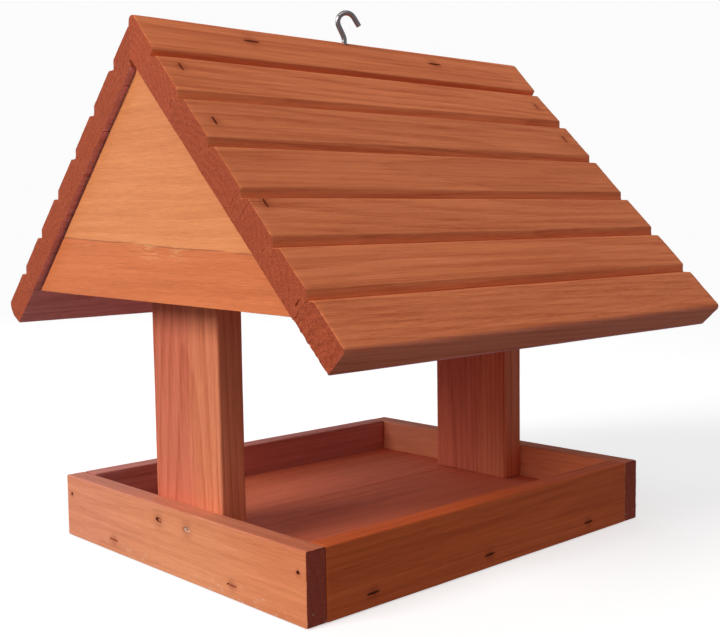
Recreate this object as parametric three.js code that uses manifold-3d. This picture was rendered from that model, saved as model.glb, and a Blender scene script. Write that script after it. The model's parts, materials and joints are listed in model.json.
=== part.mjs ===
// A hanging wooden bird feeder. A framed tray carries two plank posts, the posts carry two
// triangular gables, and two slopes of V-grooved boards meet at the ridge, where a steel
// screw hook holds the feeder up.
//
// Millimetres. +Z is up, +X runs along the ridge and the front slope faces -Y. The origin is
// the middle of the tray's underside. "Left" is the -X end and "right" is the +X end.

import * as THREE from "three";
import { mergeVertices } from "three/addons/utils/BufferGeometryUtils.js";
import Module from "manifold-3d";

const wasm = await Module();
wasm.setup();

// ---------------------------------------------------------------- driving dimensions

const GAP = 0.3; // between parts inside the sloping groups, and round each fastener

const TRAY = { length: 300, width: 252, height: 41, rail: 13.5, easing: 1.2 };
const PLANK = 18; // planed thickness of the floor, posts and roof
const FLOOR_SEAM_Y = 24;
const POST = { width: 69, top: 258, easing: 1.5 };
const GABLE = { thickness: 25, frontFoot: [-133.6, 162.3], backFoot: [130, 166] }; // y, z

const ROOF = {
  apex: 324.8, // where the two outer planes would meet
  slope: THREE.MathUtils.degToRad(45),
  left: -165.5,
  right: 171.5,
  ridgeJointY: 3, // the plumb joint stands a little behind the middle
  ridgeRadius: 3,
};
const GROOVE_DEPTH = 3.8; // of the V between two boards, whose sides are bevelled at 45 degrees
const BEVELLED_EDGE = { rise: 0, bevel: GROOVE_DEPTH };
// Distances down each slope from the apex: the joints, which don't all lie evenly, and the
// eave's edge. The front ridge board stands proud of its slope by the rise, a little less at
// its lower edge, which is nearly square where the others have bevels.
const FRONT = {
  joints: [29.7, 66.2, 104.1, 142.6, 177.8, 213.3],
  eave: { faceEnd: 245.8, noseEnd: 248.6, noseDepth: 2.8, heel: 248.4 },
  rise: 2,
  ridgeEdge: { rise: 1, bevel: 0.8 },
};
const BACK = {
  joints: [33.7, 68, 102.3, 136.7, 171, 205.3],
  eave: { faceEnd: 235.8, noseEnd: 240.4, noseDepth: 9.5, heel: 238.3 },
  ridgeEdge: BEVELLED_EDGE,
};
const TONGUE = { from: 7, to: 11.5, length: 4 };

const HOOK = { x: -4.8, y: -1, turn: THREE.MathUtils.degToRad(-25), wire: 1.7 };
const HOOK_LOOP = { radius: 6, offset: 1.8, height: 13.55 };
const THREAD = { length: 20, outer: 2, root: 1.5, pitch: 1.6, collar: 1 };

const SCREW = { head: 3.4, shank: 1.7, headDepth: 2.4, sink: 0.5 };
const POST_SCREW = { length: 30, y: [12.5, -17.5], z: 31 };
const GABLE_SCREW = { length: 36, low: 186, high: 232 };
const NAIL = { length: 32, radius: 0.9, sink: 0.6 };
const CORNER_NAIL_Z = 28.5;
const STAPLE = { wire: 0.8, width: 1.3, sink: 0.4 };
const FLOOR_STAPLE = { crown: 9, leg: 25, endY: [66, -61], sideX: [-103, -6, 94], z: 8 };
const RIDGE_STAPLE = { crown: 12, leg: 25, left: -87.4, right: 73.6, drop: 10.8 }; // from the apex
const ROOF_STAPLE = { crown: 6, leg: 32 };
// Each stands this far below its board's upper joint, over a gable.
const ROOF_STAPLES = [
  { board: 2, end: "left", x: -152.5, below: 11.6 },
  { board: 2, end: "right", x: 157.5, below: 16.9 },
  { board: 3, end: "left", x: -153.5, below: 20.4 },
  { board: 3, end: "right", x: 157.5, below: 16.7 },
  { board: 5, end: "left", x: -155.5, below: 7.6 },
];
const SURFACE_MARGIN = 3; // how far a pocket's cutter stands out of the wood

const COLOURS = {
  roof: 0xb4643f,
  gable: 0xe0935f,
  tray: 0xc87a4a,
  floor: 0x8f4a35,
  post: 0xc06a48,
  steel: 0xa8a6a4,
  fastener: 0x5a4038,
};

const floorTop = PLANK;
const railInnerX = TRAY.length / 2 - TRAY.rail;
const railInnerY = TRAY.width / 2 - TRAY.rail;
const postInnerX = railInnerX - PLANK;
const innerApex = ROOF.apex - PLANK / Math.cos(ROOF.slope);

// The round on the front ridge board, in the front slope's y (outwards) and z (down).
const plumbSum = -ROOF.ridgeJointY / Math.sin(ROOF.slope); // y + z on the plumb joint
const ridgeY = FRONT.rise - ROOF.ridgeRadius;
const ridgeZ = plumbSum - ridgeY + ROOF.ridgeRadius * Math.SQRT2;
const ridgeTop =
  ROOF.apex + ridgeY * Math.cos(ROOF.slope) - ridgeZ * Math.sin(ROOF.slope) + ROOF.ridgeRadius;

// ---------------------------------------------------------------- scene helpers

const feeder = new THREE.Group();
const wood = [];
const pockets = [];

function material(colour, roughness, metalness) {
  return new THREE.MeshStandardMaterial({ color: colour, roughness, metalness });
}

function addMesh(parent, name, geometry, paint) {
  const mesh = new THREE.Mesh(geometry, paint);
  mesh.name = name;
  parent.add(mesh);
  return mesh;
}

function addWood(parent, name, geometry, colour) {
  const mesh = addMesh(parent, name, geometry, material(colour, 0.6, 0));
  wood.push(mesh);
  return mesh;
}

const X = new THREE.Vector3(1, 0, 0);
const Y = new THREE.Vector3(0, 1, 0);
const Z = new THREE.Vector3(0, 0, 1);
const SECTION_YZ = new THREE.Matrix4().makeBasis(Y, Z, X); // drawn in y, z and run along x
const SECTION_XZ = new THREE.Matrix4().makeBasis(X, Z, Y.clone().negate()); // run along -y

// A straight bar with the given section, from one station to another along its run.
function bar(section, from, to, frame, curveSegments = 4) {
  const settings = { depth: to - from, bevelEnabled: false, curveSegments };
  const geometry = new THREE.ExtrudeGeometry(section, settings);
  geometry.translate(0, 0, from);
  return frame ? geometry.applyMatrix4(frame) : geometry;
}

// A rectangle whose corners are rounded by the easings, in the order low-low, high-low,
// high-high and low-high.
function easedRectangle(x0, x1, y0, y1, easings) {
  const [a, b, c, d] = easings;
  const shape = new THREE.Shape();
  shape.moveTo(x0 + a, y0);
  shape.lineTo(x1 - b, y0);
  if (b) shape.absarc(x1 - b, y0 + b, b, -Math.PI / 2, 0);
  shape.lineTo(x1, y1 - c);
  if (c) shape.absarc(x1 - c, y1 - c, c, 0, Math.PI / 2);
  shape.lineTo(x0 + d, y1);
  if (d) shape.absarc(x0 + d, y1 - d, d, Math.PI / 2, Math.PI);
  shape.lineTo(x0, y0 + a);
  if (a) shape.absarc(x0 + a, y0 + a, a, Math.PI, Math.PI * 1.5);
  return shape;
}

function polygon(points) {
  return new THREE.Shape(points.map(([x, y]) => new THREE.Vector2(x, y)));
}

// ---------------------------------------------------------------- solids

function solidOf(geometry, matrix) {
  const plain = geometry.clone().applyMatrix4(matrix);
  plain.deleteAttribute("normal");
  plain.deleteAttribute("uv");
  const merged = mergeVertices(plain, 1e-4);
  const vertProperties = merged.attributes.position.array;
  const triVerts = new Uint32Array(merged.index.array);
  return new wasm.Manifold(new wasm.Mesh({ numProp: 3, vertProperties, triVerts }));
}

function geometryOf(solid) {
  const { vertProperties, triVerts } = solid.getMesh();
  const geometry = new THREE.BufferGeometry();
  geometry.setAttribute("position", new THREE.BufferAttribute(vertProperties, 3));
  geometry.setIndex(new THREE.BufferAttribute(triVerts, 1));
  const faceted = geometry.toNonIndexed();
  faceted.computeVertexNormals();
  return faceted;
}

// Cuts the pockets, which are meshes placed in the scene, out of a placed mesh.
function carve(mesh, pockets) {
  const reach = new THREE.Box3().setFromObject(mesh);
  const near = pockets.filter((p) => new THREE.Box3().setFromObject(p).intersectsBox(reach));
  if (near.length === 0) return;
  let solid = solidOf(mesh.geometry, mesh.matrixWorld);
  for (const pocket of near) {
    solid = solid.subtract(solidOf(pocket.geometry, pocket.matrixWorld));
  }
  const toLocal = mesh.matrixWorld.clone().invert();
  mesh.geometry = geometryOf(solid).applyMatrix4(toLocal);
}

// ---------------------------------------------------------------- tray

function railSection(inner, outer) {
  const { easing, height } = TRAY;
  const outerIsHigh = outer > inner;
  const low = Math.min(inner, outer);
  const high = Math.max(inner, outer);
  const bottom = outerIsHigh ? [0, easing / 2] : [easing / 2, 0];
  return easedRectangle(low, high, 0, height, [...bottom, easing, easing]);
}

function addTray() {
  const halfWidth = TRAY.width / 2;
  const halfLength = TRAY.length / 2;
  for (const [name, side] of [["left", -1], ["right", 1]]) {
    const section = railSection(side * railInnerX, side * halfLength);
    const geometry = bar(section, -halfWidth, halfWidth, SECTION_XZ);
    addWood(feeder, `tray_end_${name}`, geometry, COLOURS.tray);
  }
  for (const [name, side] of [["front", -1], ["back", 1]]) {
    const section = railSection(side * railInnerY, side * halfWidth);
    const geometry = bar(section, -railInnerX, railInnerX, SECTION_YZ);
    addWood(feeder, `tray_side_${name}`, geometry, COLOURS.tray);
  }
}

function addFloor() {
  const edges = [["front", -railInnerY, FLOOR_SEAM_Y], ["back", FLOOR_SEAM_Y, railInnerY]];
  for (const [name, y0, y1] of edges) {
    const section = easedRectangle(y0, y1, 0, floorTop, [0, 0, 0.6, 0.6]);
    const geometry = bar(section, -railInnerX, railInnerX, SECTION_YZ, 2);
    addWood(feeder, `floor_board_${name}`, geometry, COLOURS.floor);
  }
}

// ---------------------------------------------------------------- posts and gables

function addPosts() {
  const half = POST.width / 2;
  const easings = Array(4).fill(POST.easing);
  for (const [name, side] of [["left", -1], ["right", 1]]) {
    const x0 = Math.min(side * railInnerX, side * postInnerX);
    const section = easedRectangle(x0, x0 + PLANK, -half, half, easings);
    addWood(feeder, `post_${name}`, bar(section, floorTop, POST.top), COLOURS.post);
  }
}

function addGables() {
  const apex = innerApex - GAP / Math.cos(ROOF.slope);
  const { thickness, frontFoot, backFoot } = GABLE;
  const outline = polygon([frontFoot, backFoot, [0, apex]]);
  const starts = { left: -railInnerX - thickness, right: railInnerX };
  for (const [name, x0] of Object.entries(starts)) {
    const geometry = bar(outline, x0, x0 + thickness, SECTION_YZ);
    addWood(feeder, `gable_${name}`, geometry, COLOURS.gable);
  }
}

// ---------------------------------------------------------------- roof
// A slope's own frame: x along the ridge, y outwards from its face, z down the slope. A
// board's section is drawn in y, z.

// The upper edge of a board below the ridge: a tongue, then the bevel that closes the V.
function drawTongueEdge(shape, top) {
  shape.moveTo(-PLANK, top);
  shape.lineTo(-TONGUE.to, top);
  shape.lineTo(-TONGUE.to, top - TONGUE.length);
  shape.lineTo(-TONGUE.from, top - TONGUE.length);
  shape.lineTo(-TONGUE.from, top);
  shape.lineTo(-GROOVE_DEPTH, top);
  shape.lineTo(0, top + GROOVE_DEPTH);
}

// The upper end of the front ridge board: a plumb cut that meets the proud face in a round.
function drawFrontRidge(shape) {
  const foot = ROOF.ridgeRadius * Math.SQRT1_2;
  shape.moveTo(-PLANK, plumbSum + PLANK);
  shape.lineTo(ridgeY - foot, ridgeZ - foot);
  shape.absarc(ridgeY, ridgeZ, ROOF.ridgeRadius, Math.PI * 1.25, Math.PI * 2);
}

function drawBackRidge(shape) {
  const backSum = (ROOF.ridgeJointY + GAP) / Math.sin(ROOF.slope);
  shape.moveTo(-PLANK, backSum + PLANK);
  shape.lineTo(0, backSum);
}

// The bevelled lower edge of a board, with the groove for the tongue of the board below.
function drawGrooveEdge(shape, bottom, { rise, bevel }) {
  shape.lineTo(rise, bottom - bevel);
  shape.lineTo(-GROOVE_DEPTH, bottom);
  shape.lineTo(-TONGUE.from + GAP, bottom);
  shape.lineTo(-TONGUE.from + GAP, bottom - TONGUE.length - GAP);
  shape.lineTo(-TONGUE.to - GAP, bottom - TONGUE.length - GAP);
  shape.lineTo(-TONGUE.to - GAP, bottom);
  shape.lineTo(-PLANK, bottom);
}

// The eave: a round that falls back to the inner edge.
function drawEave(shape, { faceEnd, noseEnd, noseDepth, heel }) {
  shape.lineTo(0, faceEnd);
  shape.absellipse(-noseDepth, faceEnd, noseDepth, noseEnd - faceEnd, 0, Math.PI / 2);
  shape.lineTo(-PLANK, heel);
}

function boardSection(index, edge, drawRidge) {
  const { joints, eave, ridgeEdge } = edge;
  const shape = new THREE.Shape();
  if (index === 0) drawRidge(shape);
  else drawTongueEdge(shape, joints[index - 1]);
  if (index === joints.length) drawEave(shape, eave);
  else drawGrooveEdge(shape, joints[index] - GAP, index === 0 ? ridgeEdge : BEVELLED_EDGE);
  return shape;
}

function addSlope(name, edge, drawRidge, turn, from, to) {
  const frame = new THREE.Group();
  frame.position.z = ROOF.apex;
  frame.rotation.z = turn;
  const slope = new THREE.Group();
  slope.rotation.x = Math.PI / 2 + ROOF.slope;
  frame.add(slope);
  feeder.add(frame);
  for (let index = 0; index <= edge.joints.length; index += 1) {
    const section = boardSection(index, edge, drawRidge);
    const geometry = bar(section, from, to, SECTION_YZ, 6);
    addWood(slope, `roof_${name}_board_${index + 1}`, geometry, COLOURS.roof);
  }
  return slope;
}

// ---------------------------------------------------------------- fasteners
// A fastener's own frame: z points out of the wood, the surface is at z = 0 and a staple's
// crown runs along x. Each is driven with a pocket of the same shape, a gap larger all round
// and open at the surface.

const vector = (x, y, z) => new THREE.Vector3(x, y, z);

function drive(parent, name, shapeOf, origin, outward, along) {
  const piece = addMesh(parent, name, shapeOf(0), material(COLOURS.fastener, 0.4, 1));
  const pocket = new THREE.Mesh(shapeOf(GAP));
  parent.add(pocket);
  pockets.push(pocket);
  const across = outward.clone().cross(along);
  const turn = new THREE.Matrix4().makeBasis(along, across, outward);
  for (const mesh of [piece, pocket]) {
    mesh.position.copy(origin);
    mesh.quaternion.setFromRotationMatrix(turn);
  }
}

// A lathe turns its profile about y, so this stands that axis up along z.
function turned(points, segments) {
  const profile = points.map(([radius, z]) => new THREE.Vector2(radius, z));
  return new THREE.LatheGeometry(profile, segments).rotateX(Math.PI / 2);
}

const screw = ({ length }) => (grow) => {
  const { head, shank, headDepth, sink } = SCREW;
  const top = grow ? SURFACE_MARGIN : -sink;
  const taper = length - 3 * shank;
  return turned([
    [0, -length - grow],
    [shank / 3 + grow, -length - grow],
    [shank + grow, -taper],
    [shank + grow, -sink - headDepth],
    [head + grow, -sink],
    ...(grow ? [[head + grow, top]] : []),
    [0, top],
  ], 16);
};

const nail = (grow) => {
  const { length, radius, sink } = NAIL;
  const top = grow ? SURFACE_MARGIN : -sink;
  return turned([
    [0, -length - grow],
    [radius + grow, -length + 2 * radius],
    [radius + grow, top],
    [0, top],
  ], 12);
};

const staple = ({ crown, leg }) => (grow) => {
  const { wire, width, sink } = STAPLE;
  const outer = crown / 2 + grow;
  const inner = crown / 2 - wire - grow;
  const top = grow ? SURFACE_MARGIN : -sink;
  const under = -sink - wire - grow;
  const foot = -leg - grow;
  const outline = polygon([
    [-outer, foot],
    [-inner, foot],
    [-inner, under],
    [inner, under],
    [inner, foot],
    [outer, foot],
    [outer, top],
    [-outer, top],
  ]);
  const half = width / 2 + grow;
  return bar(outline, -half, half).rotateX(Math.PI / 2);
};

function addTrayFasteners() {
  const stapleShape = staple(FLOOR_STAPLE);
  for (const [end, side] of [["left", -1], ["right", 1]]) {
    const face = (side * TRAY.length) / 2;
    const outward = vector(side, 0, 0);
    POST_SCREW.y.forEach((y, index) => {
      const at = vector(face, y, POST_SCREW.z);
      drive(feeder, `post_screw_${end}_${index + 1}`, screw(POST_SCREW), at, outward, Y);
    });
    for (const [corner, hand] of [["front", -1], ["back", 1]]) {
      const at = vector(face, hand * (railInnerY + TRAY.rail / 2), CORNER_NAIL_Z);
      drive(feeder, `corner_nail_${end}_${corner}`, nail, at, outward, Y);
    }
    FLOOR_STAPLE.endY.forEach((y, index) => {
      const at = vector(face, y, FLOOR_STAPLE.z);
      drive(feeder, `floor_staple_${end}_${index + 1}`, stapleShape, at, outward, Y);
    });
  }
  for (const [name, side] of [["front", -1], ["back", 1]]) {
    FLOOR_STAPLE.sideX.forEach((x, index) => {
      const at = vector(x, (side * TRAY.width) / 2, FLOOR_STAPLE.z);
      const outward = vector(0, side, 0);
      drive(feeder, `floor_staple_${name}_${index + 1}`, stapleShape, at, outward, X);
    });
  }
}

// From the posts' inner faces through the posts into the gables.
function addGableScrews() {
  for (const [end, side] of [["left", -1], ["right", 1]]) {
    for (const level of ["low", "high"]) {
      const at = vector(side * postInnerX, 0, GABLE_SCREW[level]);
      const outward = vector(-side, 0, 0);
      drive(feeder, `gable_screw_${end}_${level}`, screw(GABLE_SCREW), at, outward, Y);
    }
  }
}

// Through the front ridge board, whose face falls evenly, into the edge of the back one.
function addRidgeStaples(slope) {
  const { rise, bevel } = FRONT.ridgeEdge;
  const faceLength = FRONT.joints[0] - GAP - bevel - ridgeZ;
  const share = (RIDGE_STAPLE.drop - ridgeZ) / faceLength;
  const face = FRONT.rise + (rise - FRONT.rise) * share;
  for (const end of ["left", "right"]) {
    const at = vector(RIDGE_STAPLE[end], face, RIDGE_STAPLE.drop);
    drive(slope, `ridge_staple_${end}`, staple(RIDGE_STAPLE), at, Y, X);
  }
}

// Through the roof boards into the gables. The crowns run down the slope, whose x axis
// points the given way along the ridge.
function addRoofStaples(name, slope, edge, way) {
  for (const { board, end, x, below } of ROOF_STAPLES) {
    const at = vector(way * x, 0, edge.joints[board - 2] + below);
    drive(slope, `roof_staple_${name}_${board}_${end}`, staple(ROOF_STAPLE), at, Y, Z);
  }
}

// ---------------------------------------------------------------- hook

// The wire's centre line above the ridge, in the hook's own plane: up the shank, out to one
// side, round the loop and down the open arm.
function hookPath() {
  const { radius, offset, height } = HOOK_LOOP;
  const points = [[0, -3], [0, 0], [0, 2.4], [-0.65, 4.8], [-2, 7.5]];
  for (let degrees = 205; degrees >= 35; degrees -= 17) {
    const angle = THREE.MathUtils.degToRad(degrees);
    points.push([offset + radius * Math.cos(angle), height + radius * Math.sin(angle)]);
  }
  points.push([7.9, 15.2], [10.35, 11.3]);
  const path = points.map(([along, up]) => vector(along, 0, up));
  return new THREE.CatmullRomCurve3(path, false, "centripetal");
}

// The screwed-in end: a row of thread crests under a short collar that blends into the wire.
function threadProfile() {
  const { length, outer, root, pitch, collar } = THREAD;
  const points = [[0, -length], [root / 2, -length]];
  for (let z = -length + pitch; z < collar - pitch; z += pitch) {
    points.push([root, z], [outer, z + pitch / 2]);
  }
  points.push([outer, collar - pitch / 2], [HOOK.wire, collar], [0, collar]);
  return points;
}

function pilotProfile() {
  const radius = THREAD.outer + GAP;
  const bottom = -THREAD.length - GAP;
  const top = THREAD.collar + SURFACE_MARGIN;
  return [[0, bottom], [radius / 2, bottom], [radius, bottom + THREAD.pitch], [radius, top], [0, top]];
}

function addHook() {
  const stand = new THREE.Group();
  stand.position.set(HOOK.x, HOOK.y, ridgeTop);
  stand.rotation.z = HOOK.turn;
  feeder.add(stand);
  const section = new THREE.Shape().absarc(0, 0, HOOK.wire, 0, Math.PI * 2);
  const settings = { extrudePath: hookPath(), steps: 44, curveSegments: 6 };
  const wire = new THREE.ExtrudeGeometry(section, settings);
  const unmoved = new THREE.Matrix4();
  const shank = solidOf(turned(threadProfile(), 12), unmoved);
  const whole = solidOf(wire, unmoved).add(shank);
  addMesh(stand, "screw_hook", geometryOf(whole), material(COLOURS.steel, 0.3, 1));
  const pilot = new THREE.Mesh(turned(pilotProfile(), 16));
  stand.add(pilot);
  pockets.push(pilot);
}

// ---------------------------------------------------------------- assembly

addTray();
addFloor();
addPosts();
addGables();
const frontSlope = addSlope("front", FRONT, drawFrontRidge, 0, ROOF.left, ROOF.right);
const backSlope = addSlope("back", BACK, drawBackRidge, Math.PI, -ROOF.right, -ROOF.left);
addTrayFasteners();
addGableScrews();
addRidgeStaples(frontSlope);
addRoofStaples("front", frontSlope, FRONT, 1);
addRoofStaples("back", backSlope, BACK, -1);
addHook();

feeder.updateMatrixWorld(true);
for (const board of wood) carve(board, pockets);
for (const pocket of pockets) pocket.removeFromParent();

export default feeder;
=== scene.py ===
"""The looks of a hanging wooden bird feeder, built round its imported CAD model.

Metres, in the CAD model's frame: +Z is up, +X runs along the ridge and the front roof slope
faces -Y. Each CAD node gets one detailed piece, whose outline or place is read from that node.
Inside the builders a length is in millimetres, and MM turns it into metres.
"""

import itertools
import json
import math

import bpy
import numpy as np
from mathutils import Matrix, Vector
from mathutils.geometry import delaunay_2d_cdt


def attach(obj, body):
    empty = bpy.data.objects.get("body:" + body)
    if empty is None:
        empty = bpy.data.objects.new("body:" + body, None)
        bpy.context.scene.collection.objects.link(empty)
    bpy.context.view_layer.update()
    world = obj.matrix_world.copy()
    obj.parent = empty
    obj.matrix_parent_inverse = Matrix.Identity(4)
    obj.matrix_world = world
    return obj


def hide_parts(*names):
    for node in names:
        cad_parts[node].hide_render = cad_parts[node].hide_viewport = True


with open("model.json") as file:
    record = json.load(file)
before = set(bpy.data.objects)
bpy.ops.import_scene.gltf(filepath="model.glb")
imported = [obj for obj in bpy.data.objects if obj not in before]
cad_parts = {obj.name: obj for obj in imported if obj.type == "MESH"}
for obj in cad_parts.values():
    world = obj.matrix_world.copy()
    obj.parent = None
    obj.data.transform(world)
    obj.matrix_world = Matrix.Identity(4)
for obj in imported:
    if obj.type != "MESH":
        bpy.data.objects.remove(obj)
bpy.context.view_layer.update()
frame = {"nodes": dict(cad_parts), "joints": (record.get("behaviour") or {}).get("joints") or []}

MM = 0.001
SEED = 41
X, Y, Z = np.eye(3)
SLANT = math.sqrt(0.5)
FRONT_OUT = np.array([0, -SLANT, SLANT])  # out of the front slope's face
FRONT_DOWN = np.array([0, -SLANT, -SLANT])
BACK_OUT = np.array([0, SLANT, SLANT])
BACK_DOWN = np.array([0, SLANT, -SLANT])


# ---------------------------------------------------------------- numbers and noise

def lattice(i, j, k, seed):
    """A fixed pseudo-random value from -1 to 1 for each whole-numbered point."""
    n = (i * 1619 + j * 31337 + k * 6971 + seed * 1013) & 0x7FFFFFFF
    n = (n >> 13) ^ n
    n = (n * ((n * n * 15731 + 789221) & 0x7FFFFFFF) + 1376312589) & 0x7FFFFFFF
    return n / 0x3FFFFFFF - 1


def noise(points, cell, seed):
    """Smooth noise from -1 to 1. points are N x 3 and cell is the noise's size on each axis."""
    at = points / np.asarray(cell, float) + 1000.5
    base = np.floor(at).astype(np.int64)
    part = at - base
    part = part * part * (3 - 2 * part)
    total = np.zeros(len(points))
    for corner in itertools.product((0, 1), repeat=3):
        weight = np.prod(np.where(corner, part, 1 - part), axis=1)
        total += weight * lattice(*(base + corner).T, seed)
    return total


def vertices(node):
    """A CAD node's vertices in millimetres."""
    mesh = frame["nodes"][node].data
    co = np.empty(len(mesh.vertices) * 3, np.float32)
    mesh.vertices.foreach_get("co", co)
    return co.reshape(-1, 3).astype(float) / MM


# ---------------------------------------------------------------- outlines

def end_loop(node, run):
    """The outline of a prism's end face: its outer loop, as points on the other two axes."""
    mesh = frame["nodes"][node].data
    co = vertices(node)
    level = co[:, run].min() if "left" in node else co[:, run].max()
    across = [a for a in range(3) if a != run]
    edges = set()
    for polygon in mesh.polygons:
        ids = list(polygon.vertices)
        if np.abs(co[ids, run] - level).max() > 0.01:
            continue
        keys = [tuple(np.round(co[i, across], 2)) for i in ids]
        for a, b in zip(keys, keys[1:] + keys[:1]):
            if (b, a) in edges:
                edges.remove((b, a))
            else:
                edges.add((a, b))
    following = dict(edges)
    loops = []
    while following:
        start, at = following.popitem()
        loop = [start]
        while at != start:
            loop.append(at)
            at = following.pop(at)
        loops.append(np.array(loop))
    loop = max(loops, key=lambda points: abs(area_of(points)))
    loop = loop if area_of(loop) > 0 else loop[::-1]
    return without_straight_points(loop)


def area_of(loop):
    x, y = loop.T
    return 0.5 * float(np.sum(x * np.roll(y, -1) - np.roll(x, -1) * y))


def turns_of(loop):
    """How far the outline turns at each point, in radians."""
    before = loop - np.roll(loop, 1, axis=0)
    after = np.roll(loop, -1, axis=0) - loop
    cross = before[:, 0] * after[:, 1] - before[:, 1] * after[:, 0]
    return np.arctan2(cross, np.sum(before * after, axis=1))


def without_straight_points(loop):
    return loop[np.abs(turns_of(loop)) > math.radians(1)]


def outward_normals(loop):
    along = np.roll(loop, -1, axis=0) - np.roll(loop, 1, axis=0)
    along /= np.linalg.norm(along, axis=1)[:, None]
    return np.stack([along[:, 1], -along[:, 0]], axis=1)


def eased(loop, radius, steps=4):
    """The outline with each sharp corner cut by a small round."""
    points = []
    for i, turn in enumerate(turns_of(loop)):
        at = loop[i]
        if abs(turn) < math.radians(28):
            points.append(at)
            continue
        before = loop[i - 1] - at
        after = loop[(i + 1) % len(loop)] - at
        lengths = np.linalg.norm(before), np.linalg.norm(after)
        reach = min(radius * math.tan(abs(turn) / 2), 0.4 * min(lengths))
        start = at + before / lengths[0] * reach
        end = at + after / lengths[1] * reach
        for t in np.linspace(0, 1, steps):
            points.append((1 - t) ** 2 * start + 2 * t * (1 - t) * at + t * t * end)
    return np.array(points)


def spaced(loop, step):
    """The outline with no gap between points longer than the step."""
    points = []
    for a, b in zip(loop, np.roll(loop, -1, axis=0)):
        pieces = max(1, math.ceil(np.linalg.norm(b - a) / step))
        points.extend(a + (b - a) * i / pieces for i in range(pieces))
    return np.array(points)


def inside(points, loop):
    x, y = points.T
    result = np.zeros(len(points), bool)
    for (ax, ay), (bx, by) in zip(loop, np.roll(loop, -1, axis=0)):
        if ay != by:
            crosses = (ay > y) != (by > y)
            result ^= crosses & (x < (bx - ax) * (y - ay) / (by - ay) + ax)
    return result


def distance_to(points, targets):
    """Distance from each point to the nearest target."""
    best = np.full(len(points), np.inf)
    for target in targets:
        best = np.minimum(best, np.linalg.norm(points - target, axis=1))
    return best


# ---------------------------------------------------------------- meshes

def new_piece(node, points, faces, material, body="feeder"):
    """A shown piece that stands for one CAD node, from points in millimetres."""
    mesh = bpy.data.meshes.new(node + "_visual")
    mesh.from_pydata((np.asarray(points) * MM).tolist(), [], faces)
    mesh.validate()
    mesh.materials.append(material)
    piece = bpy.data.objects.new(node + "_visual", mesh)
    bpy.context.scene.collection.objects.link(piece)
    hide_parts(node)
    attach(piece, body)
    return piece


def shade(piece, degrees):
    mesh = piece.data
    mesh.shade_smooth()
    mesh.set_sharp_from_angle(angle=math.radians(degrees))


def store(mesh, name, kind, domain, field, values):
    attribute = mesh.attributes.new(name, kind, domain)
    attribute.data.foreach_set(field, np.asarray(values, np.float32).ravel())


def tube_faces(rings, around):
    """Quads between rings of points, and a lid on each end."""
    faces = []
    for i in range(rings - 1):
        for j in range(around):
            a = i * around + j
            b = i * around + (j + 1) % around
            faces.append((a, b, b + around, a + around))
    faces.append(tuple(reversed(range(around))))
    faces.append(tuple(range((rings - 1) * around, rings * around)))
    return faces


def cap(section, step, seed):
    """Fills a section with triangles over a loose grid. Returns the added points and the faces,
    which count the section's points first."""
    count = len(section)
    low, high = section.min(axis=0), section.max(axis=0)
    grid = np.stack(np.meshgrid(
        np.arange(low[0] + step / 2, high[0], step),
        np.arange(low[1] + step / 2, high[1], step),
    ), axis=-1).reshape(-1, 2)
    wobble = np.c_[grid, np.zeros(len(grid))]
    grid[:, 0] += 0.3 * step * noise(wobble, (step,) * 3, seed)
    grid[:, 1] += 0.3 * step * noise(wobble, (step,) * 3, seed + 1)
    grid = grid[inside(grid, section)]
    grid = grid[distance_to(grid, section) > 0.7 * step]
    flat = [Vector(p) for p in np.vstack([section, grid])]
    found = delaunay_2d_cdt(flat, [], [list(range(count))], 1, 1e-6)
    source = [ids[0] for ids in found[3]]
    faces = [tuple(source[i] for i in face) for face in found[2]]
    return grid, faces


def ordered(face, points, run, sign):
    """The face, turned so that it looks along the run's sign."""
    a, b, c = (points[i] for i in face[:3])
    looks = np.cross(b - a, c - a)[run]
    return face if looks * sign > 0 else face[::-1]


def open_edges(mesh):
    """How many of the mesh's edges don't have just two faces."""
    uses = np.zeros(len(mesh.loops), dtype=np.int32)
    mesh.loops.foreach_get("edge_index", uses)
    return int((np.bincount(uses, minlength=len(mesh.edges)) != 2).sum())


NUDGES = (0.0, 0.011, -0.017, 0.031, -0.043)  # how far to the side a cut is tried
FEWEST_NEW = 8  # a cut that changes the number of vertices by no more than this has failed


def carve(piece, cutters):
    """Cuts closed shapes out of the piece, one after the other, with exact Booleans. A cut that
    leaves the mesh as it was, or open, is tried again a hair to the side. The best try stays."""
    for points, faces in cutters:
        before = len(piece.data.vertices)
        tries = []
        for nudge in NUDGES:
            mesh = bpy.data.meshes.new("cutter")
            mesh.from_pydata(((np.asarray(points) + nudge) * MM).tolist(), [], faces)
            cutter = bpy.data.objects.new("cutter", mesh)
            bpy.context.scene.collection.objects.link(cutter)
            modifier = piece.modifiers.new("pockets", "BOOLEAN")
            modifier.operation = "DIFFERENCE"
            modifier.solver = "EXACT"
            modifier.object = cutter
            graph = bpy.context.evaluated_depsgraph_get()
            result = bpy.data.meshes.new_from_object(piece.evaluated_get(graph))
            piece.modifiers.clear()
            bpy.data.objects.remove(cutter)
            if abs(len(result.vertices) - before) > FEWEST_NEW:
                tries.append((open_edges(result), result))
                if tries[-1][0] == 0:
                    break
        if tries:
            piece.data = min(tries, key=lambda one: one[0])[1]


# ---------------------------------------------------------------- node materials

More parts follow.
